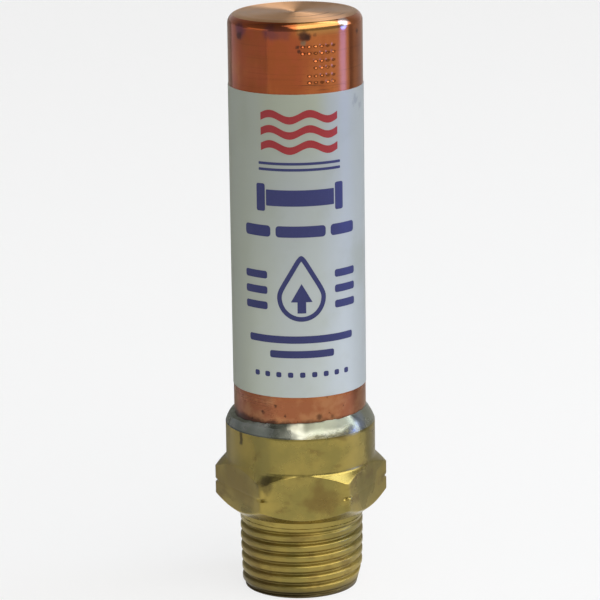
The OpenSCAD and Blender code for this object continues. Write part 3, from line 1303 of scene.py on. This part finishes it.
@dataclass
class Label:
    """The label film wrapped round the tube, lapped at the back, and its plain print."""

    edge: float = 0.03 * MM
    ink: float = 0.012 * MM
    overlap: float = 5.0 * MM
    cut_pitch: float = 0.4 * MM
    cut_snap: float = 1e-7
    steps: int = 240
    lap_steps: int = 20
    sharp_degrees: float = 35.0
    print_sharp_degrees: float = 60.0

    def __post_init__(self) -> None:
        """Take the film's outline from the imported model."""
        low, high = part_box("wrap_label")
        self.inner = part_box("copper_chamber")[1][0]
        self.outer = -low[1]
        self.bottom = low[2]
        self.top = high[2]

    def section(self, inner: float, outer: float) -> list[Point]:
        """The film's section between two radii, with its two outer edges softened.

        Args:
            inner: Radius of its inner face.
            outer: Radius of its outer face.

        Returns:
            Points of the section, as (radius, height).
        """
        return [
            (inner, self.bottom), (outer - self.edge, self.bottom), (outer, self.bottom + self.edge),
            (outer, self.top - self.edge), (outer - self.edge, self.top), (inner, self.top),
        ]

    def build(self) -> Object:
        """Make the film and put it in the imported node's place.

        Returns:
            The film.
        """
        mesh = bmesh.new()
        lathe(mesh, self.section(self.inner, self.outer), self.steps, closed=True)
        self.add_lap(mesh)
        finish = FilmFinish(self.outer / MM)
        piece = make_object(mesh, "label_film", [finish.build()], self.sharp_degrees)
        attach(piece, Body.CASING.value)
        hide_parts("wrap_label")
        return piece

    def add_lap(self, mesh: BMesh) -> None:
        """Lay the film's end over its start, in the middle of the back.

        Args:
            mesh: The bmesh to work in.
        """
        thickness = self.outer - self.inner
        lap_angle = self.overlap / self.outer
        points = self.section(self.outer - self.ink, self.outer + thickness)
        verts = [mesh.verts.new((radius, 0.0, height)) for radius, height in points]
        face = mesh.faces.new(verts)
        turn = Matrix.Rotation(math.pi / 2.0 - lap_angle / 2.0, 3, "Z")
        bmesh.ops.rotate(mesh, verts=verts, cent=(0, 0, 0), matrix=turn)
        bmesh.ops.spin(
            mesh, geom=[face], cent=(0, 0, 0), axis=(0, 0, 1), angle=lap_angle, steps=self.lap_steps,
            use_merge=False,
        )
        bmesh.ops.holes_fill(mesh, edges=[edge for edge in mesh.edges if edge.is_boundary])

    def wrap(self, mesh: BMesh, name: str, finish: InkFinish) -> Object:
        """Cut flat print into narrow strips and bend it round the film.

        Args:
            mesh: Flat print, with x along the film from the middle of the front and z as height.
            name: Name of the piece.
            finish: The ink.

        Returns:
            The print as a piece of its own.
        """
        reach = max(abs(vert.co.x) for vert in mesh.verts)
        count = int(reach / self.cut_pitch)
        for i in range(-count, count + 1):
            geometry = list(mesh.verts) + list(mesh.edges) + list(mesh.faces)
            place = (i * self.cut_pitch, 0, 0)
            bmesh.ops.bisect_plane(
                mesh, geom=geometry, dist=self.cut_snap, plane_co=place, plane_no=(1, 0, 0)
            )
        radius = self.outer + self.ink
        for vert in mesh.verts:
            angle = vert.co.x / radius
            vert.co.x = radius * math.sin(angle)
            vert.co.y = -radius * math.cos(angle)
        piece = make_object(mesh, name, [finish.build()], self.print_sharp_degrees)
        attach(piece, Body.CASING.value)
        return piece


@dataclass
class Print:
    """Flat shapes for the label, drawn in millimetres with x along the film and z as height."""

    corner_segments: int = 5
    corner_share: float = 0.3
    wave_columns: int = 48
    drop_segments: int = 64
    drop_pinch: float = 0.45
    stem_share: float = 0.4
    stem_corner: float = 0.02

    def __post_init__(self) -> None:
        """Start with nothing drawn."""
        self.mesh = bmesh.new()

    def stand(self, verts: Sequence[BMVert]) -> None:
        """Turn a shape from the XY plane up into the XZ plane."""
        turn = Matrix.Rotation(math.pi / 2.0, 3, "X")
        bmesh.ops.rotate(self.mesh, verts=verts, cent=(0, 0, 0), matrix=turn)

    def grid(self, width: float, height: float, columns: int = 1) -> list[BMVert]:
        """A flat rectangle about the origin, standing in the XZ plane.

        Args:
            width: Its size along the film.
            height: Its height.
            columns: Number of faces along it.

        Returns:
            Its vertices.
        """
        verts = bmesh.ops.create_grid(self.mesh, x_segments=columns, y_segments=1, size=0.5)["verts"]
        bmesh.ops.scale(self.mesh, vec=(width * MM, height * MM, 1.0), verts=verts)
        self.stand(verts)
        return verts

    def polygon(self, corners: int, radius: float) -> list[BMVert]:
        """A flat regular polygon about the origin, standing in the XZ plane.

        Args:
            corners: Number of its corners.
            radius: Distance from its middle to a corner.

        Returns:
            Its vertices.
        """
        shape = bmesh.ops.create_circle(self.mesh, cap_ends=True, segments=corners, radius=radius * MM)
        self.stand(shape["verts"])
        return shape["verts"]

    def place(self, verts: Iterable[BMVert], x: float, z: float) -> None:
        """Move a drawn shape to its place."""
        bmesh.ops.translate(self.mesh, verts=list(verts), vec=(x * MM, 0.0, z * MM))

    def bar(self, x: float, z: float, width: float, height: float, corner: float) -> None:
        """A rounded bar.

        Args:
            x: Middle of the bar along the film.
            z: Height of its middle.
            width: Its length along the film.
            height: Its height.
            corner: Radius of its corners.
        """
        known = set(self.mesh.verts)
        verts = self.grid(width, height)
        bmesh.ops.bevel(
            self.mesh, geom=verts, offset=corner * MM, segments=self.corner_segments, profile=0.5,
            affect="VERTICES", material=-1,
        )
        self.place([vert for vert in self.mesh.verts if vert not in known], x, z)

    def wave(self, x: float, z: float, width: float, height: float, swing: float, crests: float) -> None:
        """A waving stroke of even height.

        Args:
            x: Middle of the stroke along the film.
            z: Height of its middle.
            width: Its length.
            height: Its height.
            swing: How far it rises and falls.
            crests: Number of waves.
        """
        verts = self.grid(width, height, self.wave_columns)
        for vert in verts:
            vert.co.z += swing * MM * math.sin(FULL_TURN * crests * vert.co.x / (width * MM))
        self.place(verts, x, z)

    def drop(self, x: float, z: float, radius: float, tip: float, line: float) -> None:
        """The outline of a water drop with its tip up.

        Args:
            x: Middle of the drop along the film.
            z: Height of the middle of its round part.
            radius: Radius of its round part.
            tip: Distance from that middle to its tip.
            line: Width of the outline.
        """
        known = set(self.mesh.verts)
        verts = self.polygon(self.drop_segments, radius)
        for vert in verts:
            rise = max(0.0, vert.co.z / (radius * MM))
            vert.co.x *= 1.0 - self.drop_pinch * rise * rise
            vert.co.z += (tip - radius) * MM * rise ** 3
        faces = list({face for vert in verts for face in vert.link_faces})
        bmesh.ops.inset_region(
            self.mesh, faces=faces, thickness=line * MM, use_even_offset=True, use_boundary=True
        )
        bmesh.ops.delete(self.mesh, geom=faces, context="FACES")
        self.place([vert for vert in self.mesh.verts if vert not in known], x, z)

    def arrow(self, x: float, z: float, width: float, height: float) -> None:
        """An upward arrow: a triangle on a bar that ends at its base.

        Args:
            x: Middle of the arrow along the film.
            z: Height of its middle.
            width: Width of its head.
            height: Its whole height.
        """
        radius = width / math.sqrt(3.0)
        stem = height - 1.5 * radius
        verts = self.polygon(3, radius)
        top = max(vert.co.z for vert in verts)
        self.place(verts, x, z + height / 2.0 - top / MM)
        self.bar(x, z - height / 2.0 + stem / 2.0, self.stem_share * width, stem, self.stem_corner)

    def row(
        self, z: float, height: float, widths: Sequence[float], gap: float = 0.0, middle: float = 0.0
    ) -> None:
        """A row of rounded bars, one after another about the middle.

        Args:
            z: Height of the row's middle.
            height: Height of the bars.
            widths: Length of each bar.
            gap: Space between two bars.
            middle: Middle of the row along the film.
        """
        x = middle - (sum(widths) + gap * (len(widths) - 1)) / 2.0
        for width in widths:
            self.bar(x + width / 2.0, z, width, height, self.corner_share * min(width, height))
            x += width + gap


@dataclass
class LabelPrint:
    """The plain print on the label: waves, rules, a pipe, a drop and rows of bars."""

    red: InkFinish = InkFinish("red_ink_finish", (0.28, 0.010, 0.014), (0.34, 0.025, 0.025))
    blue: InkFinish = InkFinish("blue_ink_finish", (0.016, 0.020, 0.115), (0.03, 0.035, 0.16))
    wave_levels: tuple[float, ...] = (82.6, 80.1, 77.6)
    rule_levels: Point = (74.9, 73.9)
    pipe_level: float = 69.2
    drop_level: float = 52.6
    arrow_level: float = 52.4
    side_levels: tuple[float, ...] = (51.0, 53.6, 56.2)
    side_places: Point = (-8.0, 8.0)

    def build(self, label: Label) -> list[Object]:
        """Draw both inks and wrap them round the label.

        Args:
            label: The film that carries the print.

        Returns:
            The red print and the blue one.
        """
        red = Print()
        for level in self.wave_levels:
            red.wave(0.0, level, width=13.2, height=1.25, swing=0.55, crests=2.0)
        blue = Print()
        for level in self.rule_levels:
            blue.bar(0.0, level, width=14.2, height=0.45, corner=0.15)
        self.pipe(blue, self.pipe_level)
        blue.row(63.6, height=1.9, widths=(5.0, 8.4, 5.0), gap=0.9)
        blue.drop(0.0, self.drop_level, radius=4.1, tip=7.0, line=0.8)
        blue.arrow(0.0, self.arrow_level, width=3.6, height=5.0)
        for level in self.side_levels:
            for place in self.side_places:
                blue.row(level, height=1.3, widths=(4.4,), middle=place)
        blue.row(45.4, height=1.25, widths=(19.0,))
        blue.row(42.9, height=1.25, widths=(11.0,))
        blue.row(39.4, height=0.9, widths=(0.9,) * 9, gap=1.1)
        return [
            label.wrap(red.mesh, "label_print_red", self.red),
            label.wrap(blue.mesh, "label_print_blue", self.blue),
        ]

    def pipe(self, sheet: Print, z: float) -> None:
        """A length of pipe with a flange at each end.

        Args:
            sheet: The print to draw on.
            z: Height of the pipe's middle.
        """
        sheet.bar(0.0, z, width=11.6, height=2.7, corner=0.15)
        for flange in (-6.8, 6.8):
            sheet.bar(flange, z, width=1.6, height=4.6, corner=0.35)


@dataclass
class Plunger:
    """The piston and its two rings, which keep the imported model's shapes."""

    def dress(self) -> list[Object]:
        """Give the piston and the rings their finishes.

        Returns:
            The piston and both rings.
        """
        rubber = RubberFinish().build()
        finishes = {"piston": PistonFinish().build(), "upper_o_ring": rubber, "lower_o_ring": rubber}
        pieces = []
        for name, material in finishes.items():
            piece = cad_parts[name]
            piece.data.materials.clear()
            piece.data.materials.append(material)
            pieces.append(piece)
        return pieces


@dataclass(frozen=True)
class Lamp:
    """A soft rectangular lamp that looks at the part."""

    name: str
    azimuth: float
    elevation: float
    distance: float
    width: float
    height: float
    radiance: float
    colour: Colour
    aim: float = 49.0 * MM
    lights_matt: bool = True

    def build(self) -> Object:
        """Hang the lamp so that it looks at the part's axis at the height of its aim.

        Returns:
            The lamp.
        """
        target = Vector((0.0, 0.0, self.aim))
        data = bpy.data.lights.new(self.name, "AREA")
        data.shape = "RECTANGLE"
        data.size = self.width
        data.size_y = self.height
        data.energy = self.radiance * math.pi * self.width * self.height
        data.color = self.colour
        lamp = bpy.data.objects.new(self.name, data)
        bpy.context.scene.collection.objects.link(lamp)
        turn = math.radians(self.azimuth)
        rise = math.radians(self.elevation)
        way = Vector((math.sin(turn) * math.cos(rise), -math.cos(turn) * math.cos(rise), math.sin(rise)))
        lamp.location = target + way * self.distance
        lamp.rotation_euler = way.to_track_quat("Z", "Y").to_euler()
        lamp.visible_camera = False
        lamp.visible_diffuse = self.lights_matt
        return lamp


@dataclass(frozen=True)
class Card:
    """A grey card that stands close to the part and shows only in its reflections."""

    name: str
    azimuth: float
    width: float
    foot: float
    top: float
    tone: Colour
    white_share: float = 0.0
    distance: float = 0.045

    def build(self) -> Object:
        """Stand the card up, facing the part.

        Returns:
            The card.
        """
        middle = (self.foot + self.top) / 2.0
        turn = Matrix.Rotation(math.radians(self.azimuth), 4, "Z")
        stand = Matrix.Translation((0.0, -self.distance, middle)) @ Matrix.Rotation(math.pi / 2.0, 4, "X")
        size = Matrix.Diagonal((self.width, self.top - self.foot, 1.0, 1.0))
        mesh = bmesh.new()
        bmesh.ops.create_grid(mesh, x_segments=1, y_segments=1, size=0.5, matrix=turn @ stand @ size)
        finish = StageFinish(pale=self.tone, paler=self.tone, white_share=self.white_share)
        card = make_object(mesh, self.name, [finish.build()])
        card.visible_camera = False
        card.visible_diffuse = False
        card.visible_shadow = False
        return card


@dataclass
class Studio:
    """Floor, back wall, cards, lamps, world and camera."""

    floor_size: float = 8.0
    floor_cells: int = 8
    floor_drop: float = 0.02 * MM
    wall_place: float = 1.3
    wall_tone: Colour = (0.94, 0.94, 0.94)
    horizon: Colour = (0.45, 0.46, 0.46)
    zenith: Colour = (0.18, 0.18, 0.18)
    camera_azimuth: float = -2.6
    camera_yaw: float = -0.025
    camera_pitch: float = 14.45
    camera_roll: float = -0.77
    camera_reach: float = 514.9 * MM
    camera_height: float = 182.0 * MM
    focal_pixels: float = 3178.0
    frame_pixels: float = 600.0
    sensor: float = 36.0
    nearest: float = 10.0 * MM

    def lamps(self) -> list[Lamp]:
        """The studio's lamps.

        Returns:
            The lamps, in the order in which they are hung.
        """
        return [
            Lamp(
                "right_softbox", azimuth=40.0, elevation=44.0, distance=1.1, width=1.8, height=0.6,
                radiance=3.0, colour=(1.0, 0.98, 0.94),
            ),
            Lamp(
                "high_softbox", azimuth=40.0, elevation=68.0, distance=1.1, width=1.4, height=0.5,
                radiance=1.7, colour=(1.0, 0.95, 0.85), lights_matt=False,
            ),
            Lamp(
                "right_strip", azimuth=84.5, elevation=0.0, distance=0.3, width=0.07, height=0.105,
                radiance=6.2, colour=(0.055, 0.14, 1.0), aim=57.5 * MM, lights_matt=False,
            ),
            Lamp(
                "right_window", azimuth=98.0, elevation=41.0, distance=0.6, width=0.18, height=0.72,
                radiance=3.2, colour=(0.78, 0.86, 1.0),
            ),
            Lamp(
                "left_fill", azimuth=-70.0, elevation=6.0, distance=1.2, width=0.9, height=0.5,
                radiance=0.8, colour=(1.0, 0.97, 0.76),
            ),
        ]

    def cards(self) -> list[Card]:
        """The grey cards on both sides of the part and behind it.

        Returns:
            The cards.
        """
        return [
            Card("left_card", azimuth=-105.0, width=0.139, foot=0.0, top=0.10, tone=(0.63, 0.64, 0.73)),
            Card("back_left_card", azimuth=-152.0, width=0.05, foot=0.0, top=0.10, tone=(0.33, 0.33, 0.30)),
            Card("right_card", azimuth=95.5, width=0.0095, foot=0.02, top=0.095, tone=(0.46, 0.46, 0.46)),
            Card(
                "back_right_card", azimuth=130.0, width=0.045, foot=0.0, top=0.095, tone=(0.60, 0.58, 0.53),
                white_share=0.17,
            ),
        ]

    def build_stage(self) -> None:
        """Lay the floor under the part and stand a wall well behind it."""
        floor = StageFinish()
        wall = StageFinish(pale=self.wall_tone, paler=self.wall_tone, white_share=0.0)
        half = self.floor_size / 2.0
        upright = Matrix.Translation((0.0, self.wall_place, half)) @ Matrix.Rotation(math.pi / 2.0, 4, "X")
        level = Matrix.Translation((0.0, 0.0, -self.floor_drop))
        for name, place, finish in (("studio_floor", level, floor), ("studio_wall", upright, wall)):
            mesh = bmesh.new()
            cells = self.floor_cells
            bmesh.ops.create_grid(mesh, x_segments=cells, y_segments=cells, size=half, matrix=place)
            make_object(mesh, name, [finish.build()])

    def build_world(self) -> None:
        """Fill the room with light that falls off from the horizon to the zenith."""
        world = bpy.data.worlds.new("studio_world")
        world.use_nodes = True
        nodes = world.node_tree.nodes
        links = world.node_tree.links
        coords = nodes.new("ShaderNodeTexCoord")
        split = nodes.new("ShaderNodeSeparateXYZ")
        blend = nodes.new("ShaderNodeMix")
        blend.data_type = "RGBA"
        blend.inputs[6].default_value = (*self.horizon, 1.0)
        blend.inputs[7].default_value = (*self.zenith, 1.0)
        links.new(coords.outputs["Generated"], split.inputs[0])
        links.new(split.outputs["Z"], blend.inputs[0])
        links.new(blend.outputs[2], nodes["Background"].inputs["Color"])
        bpy.context.scene.world = world

    def build_camera(self) -> Object:
        """Set the camera at the photograph's viewing angle.

        Returns:
            The camera.
        """
        data = bpy.data.cameras.new("photo_camera")
        data.sensor_width = self.sensor
        data.sensor_fit = "HORIZONTAL"
        data.lens = self.focal_pixels / self.frame_pixels * self.sensor
        data.clip_start = self.nearest
        camera = bpy.data.objects.new("photo_camera", data)
        bpy.context.scene.collection.objects.link(camera)
        azimuth = math.radians(self.camera_azimuth)
        spot = Vector((math.sin(azimuth), -math.cos(azimuth), 0.0)) * self.camera_reach
        spot.z = self.camera_height
        turn = Matrix.Rotation(azimuth + math.radians(self.camera_yaw), 4, "Z")
        tilt = Matrix.Rotation(math.pi / 2.0 - math.radians(self.camera_pitch), 4, "X")
        roll = Matrix.Rotation(math.radians(self.camera_roll), 4, "Z")
        camera.matrix_world = Matrix.Translation(spot) @ turn @ tilt @ roll
        bpy.context.scene.camera = camera
        return camera

    def build(self) -> None:
        """Set up the stage, the lamps, the world and the camera."""
        self.build_stage()
        self.build_world()
        self.build_camera()
        for lamp in self.lamps():
            lamp.build()
        for card in self.cards():
            card.build()
        bpy.context.scene.view_settings.view_transform = "Standard"


def main() -> None:
    """Build every piece, report it and set up the studio."""
    logging.basicConfig(level=logging.INFO, format="%(name)s: %(message)s")
    label = Label()
    pieces = [Chamber().build(), Adapter().build(), SolderBead().build(), label.build()]
    pieces += LabelPrint().build(label)
    pieces += Plunger().dress()
    for piece in pieces:
        log_piece(piece)
    Studio().build()


if __name__ == "__main__":
    main()
